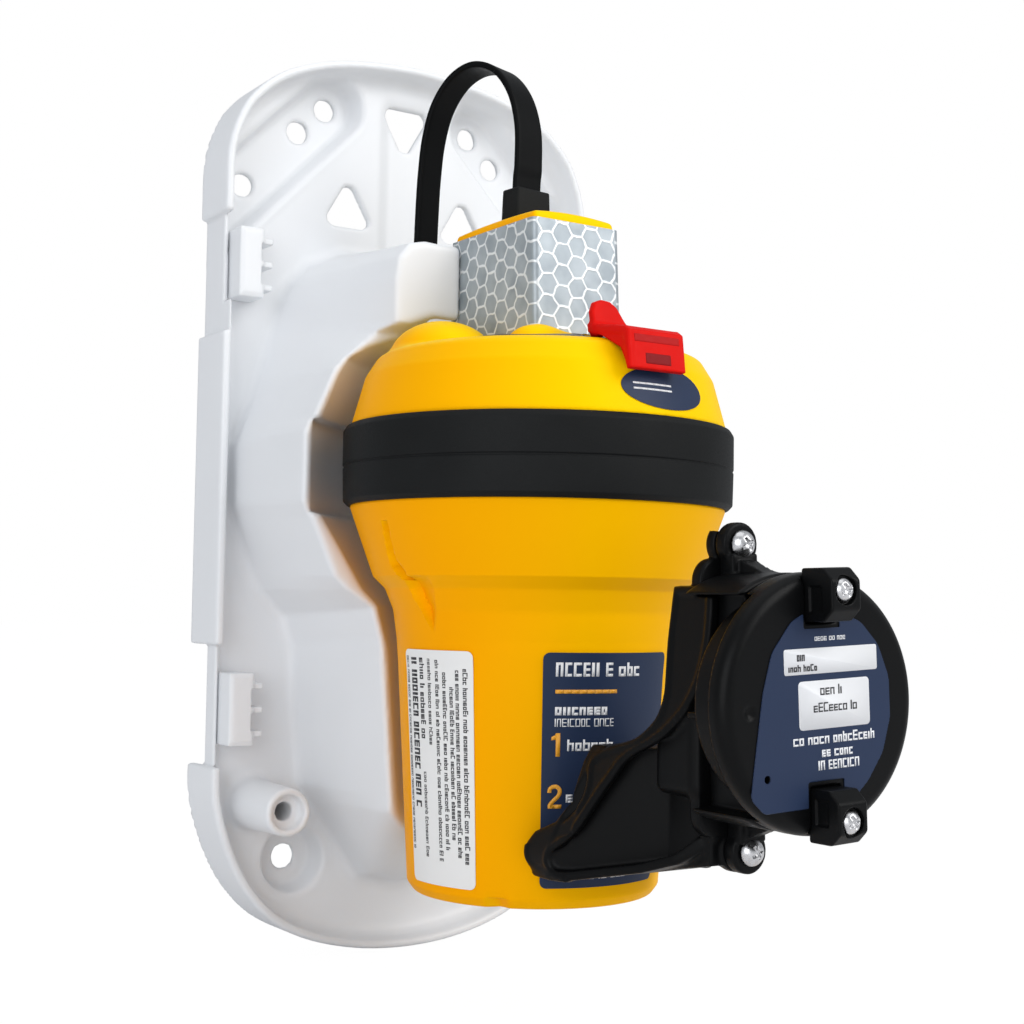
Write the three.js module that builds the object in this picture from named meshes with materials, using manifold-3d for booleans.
// Emergency position beacon in the opened base of its automatic-release housing.
// Millimetres, +Z up. While it is being drawn the wall is the plane y = 0, the front looks along
// -Y, x = 0 is the mirror plane and z = 0 is the parting line of the beacon. The finished group
// is then moved so that its box stands on z = 0, centred in x and y.
import * as THREE from "three";
import { mergeVertices } from "three/addons/utils/BufferGeometryUtils.js";
import Module from "manifold-3d";

const wasm = await Module();
wasm.setup();

// ---- shared dimensions --------------------------------------------------
const GAP = 0.3; // air between touching pieces
const LAP = 0.01; // overlap that makes two solids fuse
const SIDES = [-1, 1]; // left and right, or below and above

// beacon
const AXIS_Y = -81.1;
const BEACON_FACETS = 36;
const CASE_R = 46.7; // case under the band
const DECK_Z = 29; // top of the head
const FOOT_Z = -106.5;

// release module
const DRUM_Z = -54;
const EAR_DZ = 33; // ear screws above and below the drum's axis

// Material values of each finish.
const FINISH = {
  housing: { color: 0xe9ebee, roughness: 0.42 },
  magnet: { color: 0x8d9094, roughness: 0.3, metalness: 0.9 },
  coverCatch: { color: 0xf3f4f6, roughness: 0.4 },
  yellowCase: { color: 0xf2b010, roughness: 0.45 },
  band: { color: 0x17181a, roughness: 0.7 },
  seal: { color: 0x2b2b2b, roughness: 0.7 },
  keypad: { color: 0x3a3330, roughness: 0.5 },
  lens: { color: 0xdfe6ea, roughness: 0.08 },
  testKey: { color: 0x2c2f33, roughness: 0.5 },
  activationKey: { color: 0x6d1512, roughness: 0.5 },
  tape: { color: 0xb4bcc2, roughness: 0.3, metalness: 0.2 },
  breakTab: { color: 0xd8201a, roughness: 0.25 },
  boot: { color: 0x17181a, roughness: 0.6 },
  whip: { color: 0x141517, roughness: 0.5 },
  brassSocket: { color: 0xb58f45, roughness: 0.35, metalness: 0.9 },
  brassPost: { color: 0xb58f45, roughness: 0.4, metalness: 0.8 },
  board: { color: 0x2f6b45, roughness: 0.6 },
  ceramic: { color: 0xd9cfb6, roughness: 0.6 },
  batteryTray: { color: 0x3c4044, roughness: 0.6 },
  cell: { color: 0x5e7f9c, roughness: 0.35, metalness: 0.3 },
  glass: { color: 0xcfe3dc, roughness: 0.1 },
  navyLabel: { color: 0x26355c, roughness: 0.4 },
  paperLabel: { color: 0xf1f1ee, roughness: 0.4 },
  blackGloss: { color: 0x17181a, roughness: 0.4 },
  blackSatin: { color: 0x17181a, roughness: 0.45 },
  steel: { color: 0xb9bcc0, roughness: 0.3, metalness: 1 },
  ringSteel: { color: 0xb9bcc0, roughness: 0.35, metalness: 0.9 },
  bladeSteel: { color: 0xb9bcc0, roughness: 0.2, metalness: 1 },
  diaphragm: { color: 0x4a3b2e, roughness: 0.7 },
  plunger: { color: 0xb8b9b4, roughness: 0.4, metalness: 0.6 },
  pin: { color: 0xece8da, roughness: 0.5 },
};

// ---- solids -------------------------------------------------------------
// A closed three.js geometry as a manifold solid, facing out.
function solid(geometry, matrix) {
  if (matrix) geometry.applyMatrix4(matrix);
  geometry.deleteAttribute("normal");
  geometry.deleteAttribute("uv");
  const merged = mergeVertices(geometry, 1e-4);
  const index = merged.index.array;
  const corners = [];
  for (let i = 0; i < index.length; i += 3) {
    const [a, b, c] = index.slice(i, i + 3);
    if (a !== b && b !== c && a !== c) corners.push(a, b, c);
  }
  const build = () =>
    new wasm.Manifold(
      new wasm.Mesh({
        numProp: 3,
        vertProperties: new Float32Array(merged.attributes.position.array),
        triVerts: new Uint32Array(corners),
      }),
    );
  const made = build();
  if (made.volume() >= 0) return made;
  for (let i = 0; i < corners.length; i += 3)
    [corners[i + 1], corners[i + 2]] = [corners[i + 2], corners[i + 1]];
  return build();
}

const add = (...solids) => solids.reduce((a, b) => a.add(b));
const cut = (body, ...tools) => tools.reduce((a, b) => a.subtract(b), body);
const moved = (x, y, z) => new THREE.Matrix4().makeTranslation(x, y, z);
const turnedZ = (angle) => new THREE.Matrix4().makeRotationZ(angle);
const radians = (degrees) => (degrees * Math.PI) / 180;

function box(x0, x1, y0, y1, z0, z1) {
  return solid(
    new THREE.BoxGeometry(x1 - x0, y1 - y0, z1 - z0),
    moved((x0 + x1) / 2, (y0 + y1) / 2, (z0 + z1) / 2),
  );
}
// a box between two distances from the mirror plane, left (-1) or right (1) of it
const sideBox = (side, x0, x1, ...yz) => box(...(side < 0 ? [-x1, -x0] : [x0, x1]), ...yz);

// cylinders along each axis
function cylZ(x, y, z0, z1, r, facets) {
  const g = new THREE.CylinderGeometry(r, r, z1 - z0, facets);
  g.rotateX(Math.PI / 2);
  return solid(g, moved(x, y, (z0 + z1) / 2));
}
function cylY(x, z, y0, y1, r, facets, frontR = r) {
  const g = new THREE.CylinderGeometry(r, frontR, y1 - y0, facets);
  return solid(g, moved(x, (y0 + y1) / 2, z));
}
function cylX(y, z, x0, x1, r, facets) {
  const g = new THREE.CylinderGeometry(r, r, x1 - x0, facets);
  g.rotateZ(Math.PI / 2);
  return solid(g, moved((x0 + x1) / 2, y, z));
}
const ellipsoid = (center, radii, around, down) =>
  solid(
    new THREE.SphereGeometry(1, around, down),
    moved(...center).scale(new THREE.Vector3(...radii)),
  );

const vectors = (points) => points.map(([x, y]) => new THREE.Vector2(x, y));
const extruded = (points, depth) =>
  new THREE.ExtrudeGeometry(new THREE.Shape(vectors(points)), {
    depth,
    bevelEnabled: false,
    steps: 1,
  });

// an outline in (x, z) made into a slab between two y values
function slabY(points, y0, y1) {
  const g = extruded(points, y1 - y0);
  g.rotateX(Math.PI / 2);
  return solid(g, moved(0, y1, 0));
}
// an outline in (y, z) made into a slab between two x values
function slabX(points, x0, x1) {
  const axes = new THREE.Matrix4().set(0, 0, 1, x0, 1, 0, 0, 0, 0, 1, 0, 0, 0, 0, 0, 1);
  return solid(extruded(points, x1 - x0), axes);
}
// an outline in (x, y) made into a slab between two z values
const slabZ = (points, z0, z1) => solid(extruded(points, z1 - z0), moved(0, 0, z0));

// a profile of [r, z] turned about the beacon's axis; widen(z) scales it in x
function turn(profile, facets = BEACON_FACETS, widen = null) {
  const g = new THREE.LatheGeometry(vectors(profile), facets);
  g.rotateX(Math.PI / 2);
  if (widen) {
    const p = g.attributes.position;
    for (let i = 0; i < p.count; i++) p.setX(i, p.getX(i) * widen(p.getZ(i)));
  }
  return solid(g, moved(0, AXIS_Y, 0));
}
// a profile of [r, y] turned about the drum's axis
const turnY = (profile, facets = 28) =>
  solid(new THREE.LatheGeometry(vectors(profile), facets), moved(0, 0, DRUM_Z));

// ---- outlines -----------------------------------------------------------
// a rectangle with rounded corners, each in n steps
function roundRect(halfX, halfY, r, n, cx = 0, cy = 0) {
  const out = [];
  [[1, 1], [-1, 1], [-1, -1], [1, -1]].forEach(([sx, sy], quarter) => {
    for (let i = 0; i <= n; i++) {
      const a = (quarter + i / n) * (Math.PI / 2);
      out.push([
        cx + sx * (halfX - r) + r * Math.cos(a),
        cy + sy * (halfY - r) + r * Math.sin(a),
      ]);
    }
  });
  return out;
}
// half an outline joined to its mirror image; points on x = 0 are not doubled
function mirrored(half) {
  const offAxis = half.slice().reverse().filter(([x]) => Math.abs(x) > 1e-6);
  return half.concat(offAxis.map(([x, y]) => [-x, y]));
}
// counter-clockwise order, which inset() relies on
function ccw(points) {
  const area = THREE.ShapeUtils.area(vectors(points));
  return area < 0 ? points.slice().reverse() : points;
}
function inset(points, distance) {
  const normal = ([ax, ay], [bx, by]) => new THREE.Vector2(ay - by, bx - ax).normalize();
  return points.map((p, i) => {
    const before = normal(points.at(i - 1), p);
    const miter = before.clone().add(normal(p, points[(i + 1) % points.length]));
    const k = distance / Math.max(0.5, miter.dot(before));
    return [p[0] + miter.x * k, p[1] + miter.y * k];
  });
}

// ---- scene graph --------------------------------------------------------
const beacon = new THREE.Group();
const base = new THREE.Group();
const release = new THREE.Group();
const root = new THREE.Group();
root.add(base, beacon, release);

function piece(group, name, body, finish) {
  const m = body.getMesh();
  const position = new Float32Array(m.numVert * 3);
  for (let i = 0; i < m.numVert; i++) {
    const start = i * m.numProp;
    position.set(m.vertProperties.subarray(start, start + 3), i * 3);
  }
  const g = new THREE.BufferGeometry()
    .setAttribute("position", new THREE.BufferAttribute(position, 3))
    .setIndex(new THREE.BufferAttribute(new Uint32Array(m.triVerts), 1));
  g.computeVertexNormals();
  const mesh = new THREE.Mesh(g, new THREE.MeshStandardMaterial({ metalness: 0, ...finish }));
  mesh.name = name;
  group.add(mesh);
}

// ================= housing base ==========================================
const PLATE_FRONT = -18;
const PANEL_FRONT = -10.2;
const PANEL_BACK = -7.7;
const RIM_WALL = 2.4;
const PAD_FRONT = -3.8; // floor of the screw pads, which touch the wall
const PAD_WALL = 2.4;
const PAD_R = 8.4;
const PAD_ENDS = [[24.7, 109.7], [54.5, 79.2]]; // centres of a pad's round ends, [x, z]
const PAD_HOLES = [[24.7, 109.7], [33.3, 101.6], [50.2, 83.5]]; // [x, z]
const PAD_HOLE_R = 3.2;
const LOW_PAD = { x: 32.8, z: -106.7, r: 7.6, holeR: 3.4 };
const BOSS = { x: 46, z: -90.3, front: -34.5, r: 6.3, frontR: 5.9 };
const POD_LIP = -57; // front edge of the cradle
const POD_WALL = 2.6;
const FIN_FRONT = -64;
const FIN_THICK = 3;
const FIN_X = 13.7; // inner edge of the fins
const BOWL_GAP = 1.2;
const BOWL_SKIN = 2.4;
const MAGNET = { z: 4, r: 5 };

// right half of the plate, [x, z] from top to bottom
const PLATE = ccw(mirrored([
  [0, 123.4], [10, 122.9], [20, 121.8], [30, 119.8], [39, 116.6], [44.8, 113.6], [50, 109.6],
  [54.4, 104.8], [56.9, 100.5], [59.1, 94.8], [60.3, 89.4], [60.6, 84],
  [60.6, -85], [60, -90], [58, -97.6], [53.8, -107.6], [49, -115], [42.8, -121.4], [35, -126.2],
  [25, -129.8], [13, -132.2], [0, -133],
]));
// right half of the cradle, which follows the beacon, [x, z] from top to bottom
const POD = ccw(mirrored([
  [0, 60.5], [22, 60.5], [28, 59.2], [32, 56], [33.8, 51], [34.2, 38], [35.5, 35.5],
  [47.6, 25], [52.6, 13], [55.2, 8.6], [55.2, -9], [52.8, -14], [46.4, -28.8], [43, -31.6],
  [35.8, -37], [34, -45], [31.4, -86], [28.6, -94], [22.4, -103], [13.7, -114.5], [0, -117.5],
]));
// right fin, [x, z]
const FIN = [
  [FIN_X, 38], [34.1, 38], [33.8, 51], [32, 56], [28, 59.2], [22, 60.5], [FIN_X, 60.5],
];
// sloping underside of the cradle and of its skin, [y, z]
const UNDERSIDE = [[-70, -84], [-70, -140], [-9.9, -140], [-9.9, -117.5], [-57.5, -91]];
const UNDER_SKIN = [[-70, -81], [-70, -140], [-7, -140], [-7, -115.6], [-57.5, -88.2]];
// windows in the panel, [x, z]
const SIDE_WINDOW = [
  [20.4, 87.2], [18.2, 87.2], [12.4, 77], [13.4, 74.6], [25.2, 74.6], [26.2, 77],
];
const TOP_WINDOW = mirrored([[6.6, 112.6], [6.9, 110.8], [1.1, 100.4]]);

const onSide = (side, points) => points.map(([x, z]) => [side * x, z]);

// the beacon's envelope, d clear of it all round, widened to the sides
function bowl(d) {
  const profile = [
    [0, -108 - d], [31.5 + d, -108 - d], [32.2 + d, -105], [35.6 + d, -47],
    [39.2 + d, -32.4 - d * 0.4], [41.9 + d, -29.2 - d * 0.4], [48.2 + d, -10.6 - d],
    [50.2 + d, -10.4 - d], [50.2 + d, 10.4 + d], [48.3 + d, 10.6 + d], [45.2 + d, 23],
    [43.4 + d, 27 + d], [39.2 + d, 30.4 + d], [26, 39 + d], [0, 39 + d],
  ];
  const widen = (z) => {
    if (z < -34) return 1.085;
    if (z < -12) return 1.085 + ((z + 34) / 22) * 0.085;
    return z < 12 ? 1.17 : 1.15;
  };
  return turn(profile, BEACON_FACETS, widen);
}

function podBody() {
  let body = slabY(POD, POD_LIP, PANEL_BACK - LAP);
  for (const side of SIDES)
    body = add(
      body,
      slabY(onSide(side, FIN), FIN_FRONT, FIN_FRONT + FIN_THICK),
      // side wall carrying the fin
      sideBox(side, 31.4, 34.1, FIN_FRONT, POD_LIP + 1, 38, 52),
    );
  return cut(
    body,
    bowl(BOWL_GAP),
    slabX(UNDERSIDE, -40, 40),
    // slot behind the fins for the top block and the tucked whip, and its mouth between them
    box(-21.6, 21.6, -61, -13, 30, 70),
    box(-FIN_X, FIN_X, -70, -55, 30, 70),
  );
}

// what is hollowed out of the cradle from behind
const podHollow = () =>
  cut(
    slabY(inset(POD, POD_WALL), POD_LIP + POD_WALL, 1),
    bowl(BOWL_GAP + BOWL_SKIN),
    slabX(UNDER_SKIN, -40, 40),
    box(-24, 24, -61, -10.5, 28, 61),
  );

// slanting pad outline with round ends
function padOutline(side, r) {
  const [[ax, az], [bx, bz]] = PAD_ENDS;
  const along = new THREE.Vector2(bx - ax, bz - az).normalize();
  const points = [];
  PAD_ENDS.forEach(([x, z], end) => {
    const start = end === 0 ? Math.PI / 2 : -Math.PI / 2;
    for (let i = 0; i <= 8; i++) {
      const a = start + (i / 8) * Math.PI;
      const c = Math.cos(a);
      const s = Math.sin(a);
      points.push([
        side * (x + r * (along.x * c - along.y * s)),
        z + r * (along.y * c + along.x * s),
      ]);
    }
  });
  return points;
}

// rim, panel and the sunk screw pads
function tray() {
  const whole = slabY(PLATE, PLATE_FRONT, 0);
  const inner = inset(PLATE, RIM_WALL);
  const padLimit = slabY(inset(PLATE, RIM_WALL + 0.2), PLATE_FRONT - 1, 1);
  let body = cut(
    whole,
    slabY(inner, PLATE_FRONT - 1, PANEL_FRONT),
    slabY(inner, PANEL_BACK, 1),
  );
  for (const side of SIDES) {
    const x = side * LOW_PAD.x;
    body = add(
      body,
      slabY(padOutline(side, PAD_R + PAD_WALL), PANEL_FRONT + LAP, 0).intersect(whole),
      cylY(x, LOW_PAD.z, PANEL_FRONT + LAP, 0, LOW_PAD.r + PAD_WALL, 24),
    );
    body = cut(
      body,
      slabY(padOutline(side, PAD_R), -30, PAD_FRONT).intersect(padLimit),
      cylY(x, LOW_PAD.z, -12, PAD_FRONT, LOW_PAD.r, 24),
    );
  }
  // shallow channel down the middle of the panel
  return cut(body, box(-8.5, 8.5, -12, PANEL_FRONT + 1.6, 58, 117));
}

function housingBase() {
  let body = cut(add(tray(), podBody()), podHollow());
  for (const side of SIDES) {
    const bossX = side * BOSS.x;
    // cover screw boss
    body = add(
      body,
      cylY(bossX, BOSS.z, BOSS.front, PANEL_BACK, BOSS.r, 24, BOSS.frontR),
    );
    body = cut(
      body,
      cylY(bossX, BOSS.z, BOSS.front - 1, BOSS.front + 3, 4.8, 20),
      cylY(bossX, BOSS.z, BOSS.front - 1, -12, 2.4, 14),
      // screw holes through the pads
      ...PAD_HOLES.map(([x, z]) => cylY(side * x, z, -8, 1, PAD_HOLE_R, 16)),
      cylY(side * LOW_PAD.x, LOW_PAD.z, -8, 1, LOW_PAD.holeR, 16),
      slabY(onSide(side, SIDE_WINDOW), -14, 1),
      // latch notches in the side of the rim
      sideBox(side, 58.9, 62, -20, 1, 39, 72),
      sideBox(side, 58.4, 62, -20, 1, -79.6, -46.6),
      // the rim is low beside each catch
      sideBox(side, 50, 62, -20, -13.2, 48, 72),
      sideBox(side, 50, 62, -20, -13.2, -74.5, -53.5),
    );
  }
  body = cut(body, slabY(TOP_WINDOW, -14, 1));
  // pocket for the inhibit magnet, open at the back of the cradle
  body = add(body, cylY(0, MAGNET.z, -27.8, PANEL_BACK - 0.1, 7.2, 20));
  return cut(body, cylY(0, MAGNET.z, -25.6, 1, 5.4, 20));
}
piece(base, "housing_base", housingBase(), FINISH.housing);
piece(base, "inhibit_magnet", cylY(0, MAGNET.z, -25.2, -19.2, MAGNET.r, 20), FINISH.magnet);

// snap-in catch for the cover: a block with three ribs towards the middle and two windows
function coverCatch(side, z0, z1) {
  const back = PANEL_FRONT - GAP;
  const middle = (z0 + z1) / 2;
  const ribs = [z0 + 1, middle, z1 - 1].map((z) =>
    sideBox(side, 46.8, 50, -18.2, back, z - 0.9, z + 0.9),
  );
  return cut(
    add(sideBox(side, 49.6, 57.2, -19.6, back, z0, z1), ...ribs),
    sideBox(side, 51.6, 57.3, -17.4, -12.4, middle - 6.6, middle - 1.6),
    sideBox(side, 51.6, 57.3, -17.4, -12.4, middle + 1.6, middle + 6.6),
  );
}
for (const [level, z0, z1] of [["upper", 48.6, 68], ["lower", -73.8, -54.2]])
  for (const [hand, side] of [["left", -1], ["right", 1]])
    piece(base, `cover_catch_${level}_${hand}`, coverCatch(side, z0, z1), FINISH.coverCatch);

// ================= beacon ================================================
const BAND_R = 50;
const BAND_HALF_H = 10;
const BAND_CHAMFER = { r: 1.4, z: 1.6 };
const SEAM = GAP / 2 + 0.05; // each case half stops this far from z = 0
// points of the case profiles, [r, z]
const FLANK_FOOT = [31.9, -104.5];
const FLANK_TOP = [35.4, -47];
const HEAD_FOOT = [48.2, 10.5];
const HEAD_TOP = [44.6, 23];

const CASE_SCREWS = [45, 135, 225, 315].map((degrees) => {
  const a = radians(degrees);
  return [37.4 * Math.cos(a), AXIS_Y + 37.4 * Math.sin(a)];
});
const screwHoles = (z0, z1) => CASE_SCREWS.map(([x, y]) => cylZ(x, y, z0, z1, 1.8, 8));

// a cup with a flange and four screw bosses, open at the parting line
function lowerCase() {
  let body = turn([
    // outside, upwards
    [0, FOOT_Z], [30.2, FOOT_Z], FLANK_FOOT, FLANK_TOP, [37, -37], [39, -31.4],
    [41.7, -28.4], [48.1, -10.5], [CASE_R, -10.4], [CASE_R, -SEAM],
    // flange and inside, downwards
    [44.2, -SEAM], [44.2, -1.5], [34, -1.5], [34, -4.5], [42.2, -4.5], [42.2, -10.6],
    [44.6, -14], [39.2, -29], [36.4, -33], [32.8, -48], [29.3, -103.9], [0, -103.9],
  ]);
  body = add(body, ...CASE_SCREWS.map(([x, y]) => cylZ(x, y, -12, -4.4, 3.4, 14)));
  body = cut(body, ...screwHoles(-10.8, 0));
  // scooped recess on each flank, no deeper than the core radius
  const core = turn([[0, -70], [34.9, -70], [34.9, -20], [0, -20]]);
  for (const side of SIDES) {
    const scoop = ellipsoid([side * 40.2, AXIS_Y - 3, -37], [4.6, 4.4, 12], 10, 8);
    body = cut(body, cut(scoop, core));
  }
  return body;
}
piece(beacon, "lower_case", lowerCase(), FINISH.yellowCase);

// reflective block on the head; its front moves forward a little towards its foot
const BLOCK = { halfX: 12.4, front: -96.2, back: -58.8, top: 63.4, cornerR: 2.2, lean: 1.8 };
const ANTENNA_Y = -74;
const TEST_KEY = { x: 19.5, y: -105.5, r: 2.7 };

// the block, grown sideways by `grow`, between two heights
function blockSlab(grow, z0, z1) {
  const depth = BLOCK.back - BLOCK.front;
  const middle = (BLOCK.front + BLOCK.back) / 2;
  const outline = roundRect(
    BLOCK.halfX + grow, depth / 2 + grow, BLOCK.cornerR, 3, 0, middle,
  );
  const g = extruded(outline, z1 - z0);
  const p = g.attributes.position;
  for (let i = 0; i < p.count; i++) {
    const z = p.getZ(i) + z0;
    const y = p.getY(i);
    const down = (BLOCK.top - z) / (BLOCK.top - DECK_Z);
    p.setY(i, y - BLOCK.lean * down * ((BLOCK.back - y) / depth));
    p.setZ(i, z);
  }
  return solid(g);
}

// keypad area: the part of a disc that lies in front of the block
function deckSegment(grow, z0, z1) {
  const r = 36.4 + grow;
  const start = Math.asin((AXIS_Y - BLOCK.front + 2.2 - grow) / r);
  const outline = [];
  for (let i = 0; i <= 14; i++) {
    const a = Math.PI + start + (i / 14) * (Math.PI - 2 * start);
    outline.push([r * Math.cos(a), AXIS_Y + r * Math.sin(a)]);
  }
  return slabZ(outline, z0, z1);
}

// low plinth in front of the block, with a small hump at its left end
const plinth = (grow, z0, z1) =>
  slabZ(roundRect(15.6 + grow, 3.6 + grow, 2, 2, 0, -99.2), z0, z1);
const hump = (grow) =>
  ellipsoid([-15.4, -101.4, 28.4], [7.4 + grow, 5.2 + grow, 5.2 + grow], 14, 8);

const ledBlock = (grow, z0, z1) =>
  box(-8.1 - grow, -3.1 + grow, -111.6 - grow, -107.4 + grow, z0, z1);
const deckOpenings = [
  cylZ(TEST_KEY.x, TEST_KEY.y, 20, 40, TEST_KEY.r + GAP, 16),
  ledBlock(GAP, 20, 40),
];

// water contacts, behind the axis on each side: angle from +X
const CONTACTS = [["right", radians(65)], ["left", radians(115)]];
// a cylinder pointing out from the beacon's axis
function contactCyl(angle, centerR, length, r) {
  const g = new THREE.CylinderGeometry(r, r, length, 14);
  g.rotateZ(Math.PI / 2);
  const at = moved(centerR * Math.cos(angle), AXIS_Y + centerR * Math.sin(angle), 17);
  return solid(g, at.multiply(turnedZ(angle)));
}

// the hollow head with its block
function upperCase() {
  let body = turn([
    // outside, downwards
    [0, DECK_Z], [38.2, DECK_Z], [41.6, 27.8], HEAD_TOP, HEAD_FOOT, [CASE_R, 10.4],
    [CASE_R, SEAM],
    // flange and inside, upwards
    [44.2, SEAM], [44.2, 1.5], [34, 1.5], [34, 4.5], [43, 4.5], [44.9, 11], [42, 21.6],
    [39.4, 25.2], [37.2, 26.2], [0, 26.2],
  ]);
  // block and the narrower plate on its top
  body = add(
    body,
    blockSlab(0, 26.4, BLOCK.top),
    blockSlab(-1.4, BLOCK.top - 0.2, BLOCK.top + 1.4),
  );
  // rounded lobe on each side of the block
  const belowDeck = box(-60, 60, -140, -20, -10, 27.6);
  for (const side of SIDES) {
    const lobe = ellipsoid([side * 25, AXIS_Y + 7, 27.6], [13.4, 13.4, 9.4], 16, 8);
    body = add(body, cut(lobe, belowDeck, blockSlab(1.3, 30.6, 60)));
  }
  body = cut(
    body,
    blockSlab(-2.4, 20, BLOCK.top - 2.2), // inside of the block
    cylZ(0, ANTENNA_Y, BLOCK.top - 4, BLOCK.top + 4, 3.4, 16),
    ...screwHoles(0, 6),
    box(-4.6, 4.6, -132, -112, 22.0, 27.3), // activation key
    ...deckOpenings,
    deckSegment(GAP, DECK_Z - 0.9, DECK_Z + 2), // shallow seat for the keypad overlay
  );
  const humpTop = cut(hump(0), box(-40, 40, -130, -90, 10, 27));
  body = add(body, cut(add(plinth(0, 26.4, 31.6), humpTop), blockSlab(-1.2, 20, 40)));
  return cut(body, ...CONTACTS.map(([, angle]) => contactCyl(angle, 45, 14, 2.2)));
}
piece(beacon, "upper_case", upperCase(), FINISH.yellowCase);

function bumperBand() {
  const rimR = BAND_R - BAND_CHAMFER.r;
  const edgeZ = BAND_HALF_H - BAND_CHAMFER.z;
  const boreR = CASE_R + GAP;
  return cut(
    turn([
      [0, -BAND_HALF_H], [rimR, -BAND_HALF_H], [BAND_R, -edgeZ],
      [BAND_R, edgeZ], [rimR, BAND_HALF_H], [0, BAND_HALF_H],
    ]),
    turn([[0, -20], [boreR, -20], [boreR, 20], [0, 20]]),
  );
}
piece(beacon, "bumper_band", bumperBand(), FINISH.band);

// ring of six-sided section on the parting line
function caseSeal() {
  const section = [];
  for (let i = 0; i <= 6; i++) {
    const a = (i / 6) * 2 * Math.PI;
    section.push([40.6 + 1.15 * Math.cos(a), 1.15 * Math.sin(a)]);
  }
  return turn(section, 24);
}
piece(beacon, "case_seal", caseSeal(), FINISH.seal);

// head furniture
const keypad = cut(
  deckSegment(0, DECK_Z - 0.6, DECK_Z + 0.1),
  plinth(0.4, 20, 40),
  hump(0.5),
  ...deckOpenings,
);
const testKey = cylZ(TEST_KEY.x, TEST_KEY.y, 26.6, 30.2, TEST_KEY.r, 16);
const tape = cut(blockSlab(0.95, 32.3, 61.4), blockSlab(GAP, 30, 63));
piece(beacon, "keypad_overlay", keypad, FINISH.keypad);
piece(beacon, "led_lens", ledBlock(0, 26.4, 30.6), FINISH.lens);
piece(beacon, "test_key", testKey, FINISH.testKey);
piece(beacon, "activation_key", box(-4.2, 4.2, -126.6, -118.6, 22.4, 26.9), FINISH.activationKey);
piece(beacon, "reflective_tape", tape, FINISH.tape);

// flap over the front of the head and the lever ear behind it, [y, z]
const TAB_HALF_W = 8.2;
const TAB_FLAP = [
  [-130.2, 20.9], [-128.7, 20.5], [-127.3, 28.4], [-116.6, 30.6], [-116.5, 29.4],
  [-113.4, 29.4], [-113.3, 32.8], [-128.4, 30.4], [-129.4, 29.0],
];
const TAB_EAR = [
  [-116.4, 30.9], [-114.2, 31.1], [-112.9, 36.4], [-113.8, 38.8], [-115.6, 38.6],
  [-116.6, 35.4],
];
const breakTab = add(
  slabX(TAB_FLAP, -TAB_HALF_W, TAB_HALF_W),
  slabX(TAB_EAR, -TAB_HALF_W, 0.6),
);
piece(beacon, "break_tab", breakTab, FINISH.breakTab);

// antenna
function antennaBoot() {
  const body = slabZ(roundRect(5.8, 3.5, 1.2, 3), BLOCK.top + 1.4 + GAP, BLOCK.top + 10.4);
  const tip = slabZ(roundRect(5.5, 3.2, 1.1, 3), BLOCK.top + 10.3, BLOCK.top + 11.2);
  return add(body, tip).transform(moved(0, ANTENNA_Y, 0).multiply(turnedZ(0.12)).toArray());
}

// centre line of the whip, [x, y, z]: up from the boot, over to the back and down
const WHIP_PATH = [
  [0, -74, 75.1], [0.3, -74.3, 82], [0.2, -74, 92], [-1, -71.8, 101], [-3.4, -67.4, 107.6],
  [-6.8, -61.4, 110], [-10, -55.6, 107.4], [-12.4, -51, 100.8], [-13.7, -48.6, 92],
  [-14.3, -47.6, 82], [-14.6, -47.2, 72], [-14.8, -47, 62], [-14.9, -47, 54],
];
// a flat ribbon swept along the path so that its width keeps one direction
function antennaWhip() {
  const curve = new THREE.CatmullRomCurve3(WHIP_PATH.map((p) => new THREE.Vector3(...p)));
  const steps = 26;
  const halfW = 4.5;
  const halfT = 0.8;
  const side = new THREE.Vector3(Math.cos(0.35), Math.sin(0.35), 0);
  const corners = [[-halfW, -halfT], [halfW, -halfT], [halfW, halfT], [-halfW, halfT]];
  const position = [];
  const index = [];
  for (let i = 0; i <= steps; i++) {
    const center = curve.getPointAt(i / steps);
    const tangent = curve.getTangentAt(i / steps);
    const across = side.clone().addScaledVector(tangent, -side.dot(tangent)).normalize();
    const up = new THREE.Vector3().crossVectors(tangent, across).normalize();
    for (const [a, b] of corners) {
      const corner = center.clone().addScaledVector(across, a).addScaledVector(up, b);
      position.push(...corner.toArray());
    }
  }
  for (let i = 0; i < steps; i++)
    for (let k = 0; k < 4; k++) {
      const a = i * 4 + k;
      const b = i * 4 + ((k + 1) % 4);
      index.push(a, b, b + 4, a, b + 4, a + 4);
    }
  const end = steps * 4;
  index.push(0, 2, 1, 0, 3, 2);
  index.push(end, end + 1, end + 2, end, end + 2, end + 3);
  return meshSolid(position, index);
}
function meshSolid(position, index) {
  const g = new THREE.BufferGeometry();
  g.setAttribute("position", new THREE.BufferAttribute(new Float32Array(position), 3));
  return solid(g.setIndex(index));
}
const antennaSocket = add(
  cylZ(0, ANTENNA_Y, 50, 60.6, 5.2, 16),
  cylZ(0, ANTENNA_Y, 60.5, BLOCK.top + 1.6, 3.0, 16),
);
piece(beacon, "antenna_boot", antennaBoot(), FINISH.boot);
piece(beacon, "antenna_whip", antennaWhip(), FINISH.whip);
piece(beacon, "antenna_socket", antennaSocket, FINISH.brassSocket);

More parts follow.
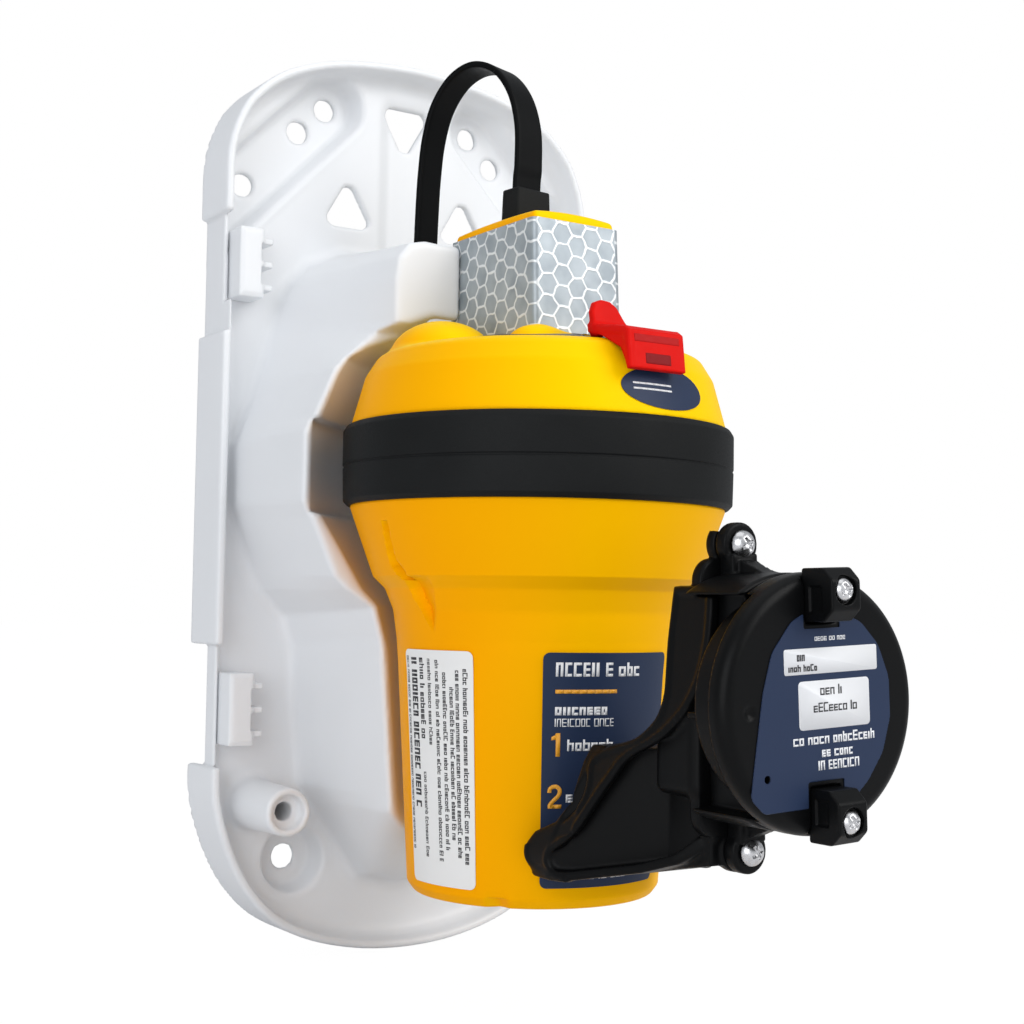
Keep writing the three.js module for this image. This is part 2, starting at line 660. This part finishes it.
// inside
const POST_Y = AXIS_Y + 18;
const mainBoard = cut(
  cylZ(0, AXIS_Y, 12, 13.6, 38, 24),
  box(-50, 50, -140, AXIS_Y - 31, 0, 20),
);
const gnssAntenna = box(-12.5, 12.5, AXIS_Y - 20, AXIS_Y + 5, 14, 18);
const strobeBoard = cut(
  slabZ(roundRect(9, 11, 1.5, 1, 0, -81.4), 46, 47.2),
  cylZ(0, ANTENNA_Y, 40, 50, 5.6, 16),
);
const boardPost = add(cylZ(0, POST_Y, 14, 45.7, 1.6, 10), cylZ(0, POST_Y, 13.9, 16, 2.4, 10));
const batteryTray = cut(cylZ(0, AXIS_Y, -26, -23.6, 33, 24), cylZ(0, AXIS_Y, -30, -20, 3, 8));
piece(beacon, "main_board", mainBoard, FINISH.board);
piece(beacon, "gnss_antenna", gnssAntenna, FINISH.ceramic);
piece(beacon, "strobe_board", strobeBoard, FINISH.board);
piece(beacon, "board_post", boardPost, FINISH.brassPost);
piece(beacon, "battery_tray", batteryTray, FINISH.batteryTray);

// three cells round the axis, each with a terminal on top
const CELL_RING_R = 14.6;
for (let k = 0; k < 3; k++) {
  const a = (k / 3) * 2 * Math.PI + Math.PI / 2;
  const x = CELL_RING_R * Math.cos(a);
  const y = AXIS_Y + CELL_RING_R * Math.sin(a);
  const cell = add(cylZ(x, y, -98, -30, 12.1, 16), cylZ(x, y, -30.1, -27.6, 4, 8));
  piece(beacon, `battery_cell_${k + 1}`, cell, FINISH.cell);
}
piece(beacon, "reed_switch", cylX(AXIS_Y + 36.5, 8.5, -7, 7, 1.5, 10), FINISH.glass);
for (const [hand, angle] of CONTACTS) {
  const stud = add(contactCyl(angle, 44.6, 6.2, 1.85), contactCyl(angle, 47.75, 0.9, 2.9));
  piece(beacon, `water_contact_${hand}`, stud, FINISH.steel);
}
CASE_SCREWS.forEach(([x, y], i) => {
  const screw = add(cylZ(x, y, -10.2, 5, 1.5, 8), cylZ(x, y, 4.5 + GAP, 7.2, 2.8, 10));
  piece(beacon, `case_screw_${i + 1}`, screw, FINISH.steel);
});

// labels: thin curved plates a hair clear of the case
const LABEL_THICK = 0.3;
const LABEL_TOP = -47.2; // both labels on the lower case end here
// radius at height z on the cone through two [r, z] points
const cone = ([r0, z0], [r1, z1]) => (z) => r0 + ((z - z0) / (z1 - z0)) * (r1 - r0);
const flankR = cone(FLANK_TOP, FLANK_FOOT);
const headR = cone(HEAD_FOOT, HEAD_TOP);

// a0 and a1 are degrees from the front, positive towards +X; n is the number of steps
function label(radiusAt, z0, z1, a0, a1, n) {
  const position = [];
  const index = [];
  for (const lift of [0, LABEL_THICK])
    for (const z of [z0, z1])
      for (let i = 0; i <= n; i++) {
        const a = radians(a0 + ((a1 - a0) * i) / n);
        const r = radiusAt(z) + GAP + lift;
        position.push(r * Math.sin(a), AXIS_Y - r * Math.cos(a), z);
      }
  // layer 0 is the inner face, 1 the outer; row 0 is the bottom edge, 1 the top
  const at = (layer, row, i) => (layer * 2 + row) * (n + 1) + i;
  const quad = (a, b, c, d) => index.push(a, b, c, a, c, d);
  for (let i = 0; i < n; i++) {
    quad(at(1, 0, i), at(1, 0, i + 1), at(1, 1, i + 1), at(1, 1, i));
    quad(at(0, 0, i), at(0, 1, i), at(0, 1, i + 1), at(0, 0, i + 1));
  }
  for (let i = 0; i < n; i++) {
    quad(at(0, 0, i), at(0, 0, i + 1), at(1, 0, i + 1), at(1, 0, i));
    quad(at(0, 1, i), at(1, 1, i), at(1, 1, i + 1), at(0, 1, i + 1));
  }
  quad(at(0, 0, 0), at(1, 0, 0), at(1, 1, 0), at(0, 1, 0));
  quad(at(0, 0, n), at(0, 1, n), at(1, 1, n), at(1, 0, n));
  return meshSolid(position, index);
}
const badgeOval = solid(
  new THREE.CylinderGeometry(1, 1, 30, 24),
  moved(4.5, -122, 16.6).scale(new THREE.Vector3(12.6, 1, 4.9)),
);
const headBadge = label(headR, 11.2, 21.9, -13, 24, 10).intersect(badgeOval);
piece(beacon, "front_label", label(flankR, -101, LABEL_TOP, -31, 31, 12), FINISH.navyLabel);
piece(beacon, "side_label", label(flankR, -103, LABEL_TOP, -98, -59, 8), FINISH.paperLabel);
piece(beacon, "head_badge", headBadge, FINISH.navyLabel);

// ================= release module ========================================
const DRUM_R = 26.8;
const DRUM_FACE = -184.5; // front of the cap
const DRUM_FRONT = -175.6; // front of the body behind the cap
const DRUM_BACK = -158;
const BOW_DZ = 22.6; // the bows begin this far above and below the axis
const YOKE_FRONT = -157.6;
const EAR_R = 4.8;
const CLAMP_DZ = 23.1; // clamp screws above and below the axis
const SCREW_R = 1.5;
const SCREW_HOLE_R = 1.9;
const PIN_Y = -163.6;
const ENDS = [["top", 1], ["bottom", -1]];

// a box centred on x = 0, between two distances above (1) or below (-1) the drum's axis
function drumBox(end, halfX, y0, y1, near, far) {
  const [z0, z1] = [DRUM_Z + end * near, DRUM_Z + end * far];
  return box(-halfX, halfX, y0, y1, Math.min(z0, z1), Math.max(z0, z1));
}
// a cylinder along y, off the drum's axis by dz
const drumCyl = (dz, ...rest) => cylY(0, DRUM_Z + dz, ...rest);

// side view of the wings, [y, z]: rear edge downwards, then front edge upwards
const WING = [
  [-148.3, -30.4], [-148, -35.4], [-146.2, -42], [-145.6, -49], [-146.8, -54],
  [-146.2, -58.3], [-144.6, -61.1], [-141.2, -63.4], [-137.2, -64.9], [-132.2, -66.1],
  [-128.6, -67.8], [-127, -69.4], [-127, -71.5], [-128.4, -75.2], [-127.6, -78.8],
  [-123, -83.4], [-118, -85.6], [-113.2, -87.2], [-110.8, -89.2], [-110.2, -91.2],
  [-110.8, -93.4], [-113.4, -95.6], [-119.6, -96.9],
  [-125.2, -96.2], [-121.4, -94.8], [-120, -92.4], [-121, -90.4], [-124.8, -88],
  [-128.4, -84.6], [-131.2, -80.4], [-133.8, -76.1], [-136.2, -72.8], [-138, -69.6],
  [-139.6, -68], [-143.2, -66.2], [-146.6, -65.4], [-149.8, -64.6], [-153.4, -62.8],
  [-156.2, -60], [-157.4, -56], [-157.6, -51], [-157.6, -30.4],
];
// front view of the yoke and of the opening between the wings, [x, z]
const BELL = mirrored([
  [0, -29.6], [7.4, -30.2], [8.6, -33.6], [9.6, -42], [10.4, -51], [12.4, -58.4],
  [14.4, -65.4], [18, -75], [21.2, -86], [22.4, -92.6], [21.4, -97.4], [0, -97.4],
]);
const BELL_OPENING = mirrored([
  [0, -32.4], [5.6, -32.4], [6.8, -34.6], [7.8, -42.4], [8.6, -51.4], [10.6, -59],
  [12.6, -66], [16.2, -75.6], [19.4, -86.4], [20.4, -92.4], [20.2, -110], [0, -110],
]);
// wedge and shelf from above, [x, y]
const WEDGE = mirrored([[-19.5, -123.4], [-6, -143], [-6, -157]]);
const SHELF = mirrored([[-20.6, -112.6], [-20.4, -121]]);
// curved sole: side view [y, z] and plan [x, y]
const SOLE_SIDE = [
  [-112.8, -97.2], [-125, -96.4], [-141.5, -93], [-150, -90.2], [-154.4, -87.4],
  [-157.4, -84.6], [-157.4, -82.4], [-153.6, -84.4], [-149.4, -88], [-141, -91],
  [-125, -94.2], [-112.8, -95.2],
];
const SOLE_PLAN = mirrored([
  [0, -112.8], [21.2, -112.8], [22, -119], [21.4, -125], [13.2, -141.5], [10, -149.4],
  [6.6, -154.4], [5.4, -157.4], [0, -157.4],
]);
// clearance round the beacon's case, [r, z]
const CASE_CLEARANCE = [
  [0, -125], [34.6, -125], [34.6, -104], [37.6, -47], [39.6, -37], [45, -29.5], [45, 0],
  [0, 0],
];

// two curved wings that sweep back and down to claw tips at the foot of the beacon, a wedge
// between them, a shelf along the foot and a narrow mounting wall
function releaseYoke() {
  const bell = slabY(BELL, -170, -90);
  const wings = cut(slabX(WING, -24, 24).intersect(bell), slabY(BELL_OPENING, -170, -90));
  const body = add(
    wings,
    slabZ(WEDGE, -93, -66.6).intersect(bell),
    slabZ(SHELF, -96, -87.4),
    box(-6, 6, -156, -143.2, -86, -31), // middle web
    box(-7.4, 7.4, -157, -148.4, -32.6, -30.4), // bridge over the tops of the wings
    slabX(SOLE_SIDE, -24, 24).intersect(slabZ(SOLE_PLAN, -100, -80)),
    // mounting wall with its ears
    slabY(roundRect(9.5, 30, 5, 4, 0, DRUM_Z), YOKE_FRONT, -154.4),
    ...SIDES.map((end) => drumCyl(end * EAR_DZ, YOKE_FRONT, -150, EAR_R, 18)),
    ...SIDES.map((end) => drumBox(end, 3.4, YOKE_FRONT, -154, 24, EAR_DZ)),
  );
  return cut(
    body,
    turn(CASE_CLEARANCE),
    ...SIDES.map((end) => drumCyl(end * EAR_DZ, -160, -151.6, SCREW_HOLE_R, 12)),
  );
}
piece(release, "release_yoke", releaseYoke(), FINISH.blackGloss);

// a disc that holds the diaphragm, a narrow core behind it, and a bow above and below at full
// radius
function releaseBody() {
  const bows = cut(
    drumCyl(0, DRUM_FRONT, DRUM_BACK, DRUM_R, 36),
    box(-40, 40, -180, -150, DRUM_Z - BOW_DZ, DRUM_Z + BOW_DZ),
  );
  let body = add(
    drumCyl(0, DRUM_FRONT, -170, 22, 32),
    bows,
    box(-9.4, 9.4, -171, DRUM_BACK, DRUM_Z - 23, DRUM_Z + 23),
    box(-14, 14, -171, DRUM_BACK, -57.6, -56.2),
    drumCyl(0, -164.2, DRUM_BACK, 9.4, 24),
  );
  // spring chamber with a raised seat on its floor
  body = cut(body, turnY([[0, -171.4], [8.2, -171.4], [8.2, -161.2], [0, -161.2]]));
  body = add(body, drumCyl(0, -165.4, -161.1, 4.8, 20));
  for (const end of SIDES) {
    const gusset = [
      [DRUM_BACK, 28], [-163.4, 29], [-171.5, 26.4], [-171.5, 25.2], [DRUM_BACK, 24],
    ].map(([y, dz]) => [y, DRUM_Z + end * dz]);
    body = add(
      body,
      drumCyl(end * EAR_DZ, -162.4, DRUM_BACK, EAR_R, 18),
      slabX(gusset, -2.2, 2.2),
      drumBox(end, 3.6, -162.4, DRUM_BACK, 24, 31),
    );
    body = cut(body, drumCyl(end * EAR_DZ, -170, -150, SCREW_HOLE_R, 12));
  }
  return cut(
    body,
    turnY([[0, -175.7], [20.6, -175.7], [20.6, -171.2], [0, -171.2]]), // diaphragm seat
    drumCyl(0, -166, -162.4, 2.9, 16), // hollow in the raised seat
    cylZ(0, PIN_Y, DRUM_Z - 5.6, DRUM_Z + 5.6, 1.6, 12), // shear pin hole
  );
}
piece(release, "release_body", releaseBody(), FINISH.blackSatin);

// small hole low on the left, through cap and label
const smallHole = cylY(-16.5, DRUM_Z - 15.5, -190, -180, 1.2, 8);

function releaseCap() {
  const body = turnY([
    [0, DRUM_FACE], [DRUM_R - 2.6, DRUM_FACE], [DRUM_R - 0.7, DRUM_FACE + 0.8],
    [DRUM_R, DRUM_FACE + 2.6], [DRUM_R, -175.9], [20.9, -175.9], [20.9, -178],
    [17, -181.8], [0, -181.8],
  ]);
  // behind the rim the flanks of the cap are drawn in
  const flanks = cut(
    box(-40, 40, -179.8, -170, DRUM_Z - BOW_DZ, DRUM_Z + BOW_DZ),
    drumCyl(0, -181, -169, 22.4, 32),
  );
  return cut(
    body,
    flanks,
    ...SIDES.map((end) => drumCyl(end * CLAMP_DZ, -190, -180, SCREW_HOLE_R, 10)),
    smallHole,
    ...SIDES.map((end) => drumBox(end, 4.3, -190, DRUM_FACE + 1.4, 16.4, 30)),
  );
}
piece(release, "release_cap", releaseCap(), FINISH.blackGloss);

function capClamp(end) {
  const back = DRUM_FACE + 1.1;
  const side = [
    [back, 16.8], [-189.6, 16.8], [-192, 19], [-192, 26], [-190.4, 27.6], [back, 27.6],
  ].map(([y, dz]) => [y, DRUM_Z + end * dz]);
  return cut(
    slabX(side, -4, 4),
    drumCyl(end * CLAMP_DZ, -200, -180, SCREW_HOLE_R, 10),
    drumCyl(end * CLAMP_DZ, -200, -190.8, 3.0, 14),
  );
}
const clampScrew = (end) =>
  add(
    drumCyl(end * CLAMP_DZ, -192.8, -191.1, 2.6, 16, 1.9),
    drumCyl(end * CLAMP_DZ, -191.2, -180.2, SCREW_R, 10),
  );
const earScrew = (end) =>
  add(
    drumCyl(end * EAR_DZ, -165.2, -162.7, 3.2, 16, 2.6),
    drumCyl(end * EAR_DZ, -162.8, -152, SCREW_R, 10),
  );
for (const [name, end] of ENDS)
  piece(release, `cap_clamp_${name}`, capClamp(end), FINISH.blackSatin);
for (const [name, end] of ENDS)
  piece(release, `clamp_screw_${name}`, clampScrew(end), FINISH.steel);
for (const [name, end] of ENDS)
  piece(release, `ear_screw_${name}`, earScrew(end), FINISH.steel);

// label shaped like a drop with a flat foot, [x, z from the drum's axis]
const DROP = [
  [-17.6, -20.5], [-20.2, -16.5], [-16.6, 4], [-13.6, 13], [-8.4, 17.4], [-5.2, 18.4],
  [-5.2, 15.6], [5.2, 15.6], [5.2, 18.6], [11, 16.4], [16, 11.4], [18.8, 4.6], [19, -3.6],
  [16.4, -11], [12, -16.2], [8, -19], [5.2, -20.5], [5.2, -15.6], [-5.2, -15.6],
  [-5.2, -20.5],
].map(([x, z]) => [x, z + DRUM_Z]);
const releaseLabel = cut(slabY(DROP, DRUM_FACE - 0.6, DRUM_FACE - GAP), smallHole);
piece(release, "release_label", releaseLabel, FINISH.navyLabel);

// inside the drum
// thin disc with one raised ring, [r, y]
const DIAPHRAGM = [
  [0, -175.2], [12, -175.2], [14, -174.2], [16, -175.2], [20.2, -175.2], [20.2, -174.4],
  [16.3, -174.4], [14, -173.3], [11.7, -174.4], [0, -174.4],
];
const diaphragmRing = cut(
  drumCyl(0, -174.1, -171.6, 20.2, 20),
  drumCyl(0, -176, -170, 17.4, 20),
);
const plunger = add(drumCyl(0, -172.8, -171.2, 7.4, 24), drumCyl(0, -171.3, -170.5, 2.2, 14));
// pointed blade, [y, z], on a round foot
const BLADE = [
  [-170.2, DRUM_Z - 2.1], [-170.2, DRUM_Z + 2.1], [-169.2, DRUM_Z + 2.1],
  [-167.8, DRUM_Z], [-169.2, DRUM_Z - 2.1],
];
const blade = add(slabX(BLADE, -0.5, 0.5), drumCyl(0, -170.2, -169.3, 2.1, 14));
const shearPin = cylZ(0, PIN_Y, DRUM_Z - 5.2, DRUM_Z + 5.2, 1.3, 12);
piece(release, "pressure_diaphragm", turnY(DIAPHRAGM, 20), FINISH.diaphragm);
piece(release, "diaphragm_ring", diaphragmRing, FINISH.ringSteel);
piece(release, "release_plunger", plunger, FINISH.plunger);
piece(release, "cutter_blade", blade, FINISH.bladeSteel);
piece(release, "shear_pin", shearPin, FINISH.pin);

const SPRING = { turns: 4.2, r: 6.3, front: -167.4, length: 5, wireR: 0.45 };
class Coil extends THREE.Curve {
  getPoint(t, target = new THREE.Vector3()) {
    const a = t * SPRING.turns * 2 * Math.PI;
    return target.set(
      SPRING.r * Math.cos(a),
      SPRING.front + t * SPRING.length,
      DRUM_Z + SPRING.r * Math.sin(a),
    );
  }
}
function releaseSpring() {
  const w = SPRING.wireR;
  const wire = new THREE.Shape(vectors([[w, 0], [0, w], [-w, 0], [0, -w]]));
  const options = { steps: 44, bevelEnabled: false, extrudePath: new Coil() };
  return solid(new THREE.ExtrudeGeometry(wire, options));
}
piece(release, "release_spring", releaseSpring(), FINISH.steel);

// ---- final placement ----------------------------------------------------
root.updateMatrixWorld(true);
const bounds = new THREE.Box3().setFromObject(root);
const { min, max } = bounds;
root.position.set(-(min.x + max.x) / 2, -(min.y + max.y) / 2, -min.z);
root.updateMatrixWorld(true);

export default root;
